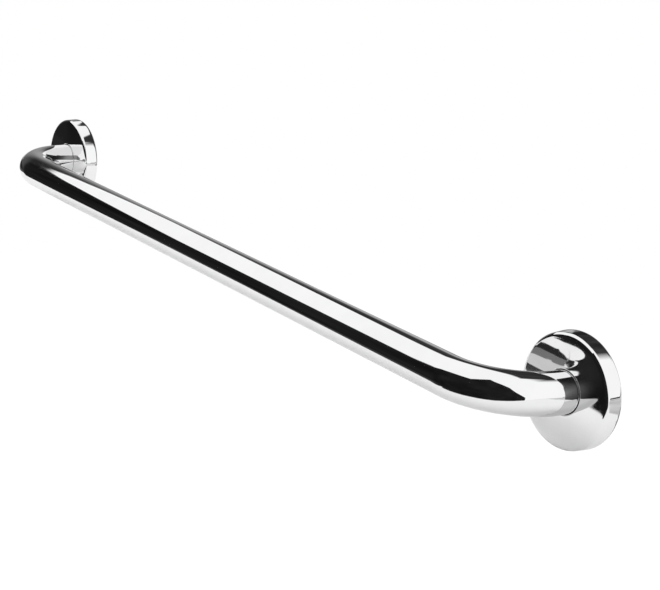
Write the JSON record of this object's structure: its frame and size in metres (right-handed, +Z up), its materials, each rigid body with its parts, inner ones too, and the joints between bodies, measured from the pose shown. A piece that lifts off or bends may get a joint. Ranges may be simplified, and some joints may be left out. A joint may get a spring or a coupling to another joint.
{
  "type": "grab bar",
  "caption": "Straight wall-mounted grab bar: a round polished tube bent back to the wall at both ends, with a round cover over each fixing plate.",
  "frame": {"origin": "on the wall plane, midway between the two fixing centres", "axes": "+X along the bar, +Y into the wall, +Z up"},
  "size_m": [0.6674, 0.0705, 0.0674],
  "materials": {
    "polished_steel": "mirror polished",
    "plate_steel": "mill rolled and stamped",
    "weld_metal": "as welded"
  },
  "bodies": {
    "root": {"grip_tube": "polished_steel", "left_cover": "polished_steel", "right_cover": "polished_steel", "left_wall_plate": "plate_steel", "right_wall_plate": "plate_steel", "left_weld_bead": "weld_metal", "right_weld_bead": "weld_metal"}
  },
  "joints": []
}
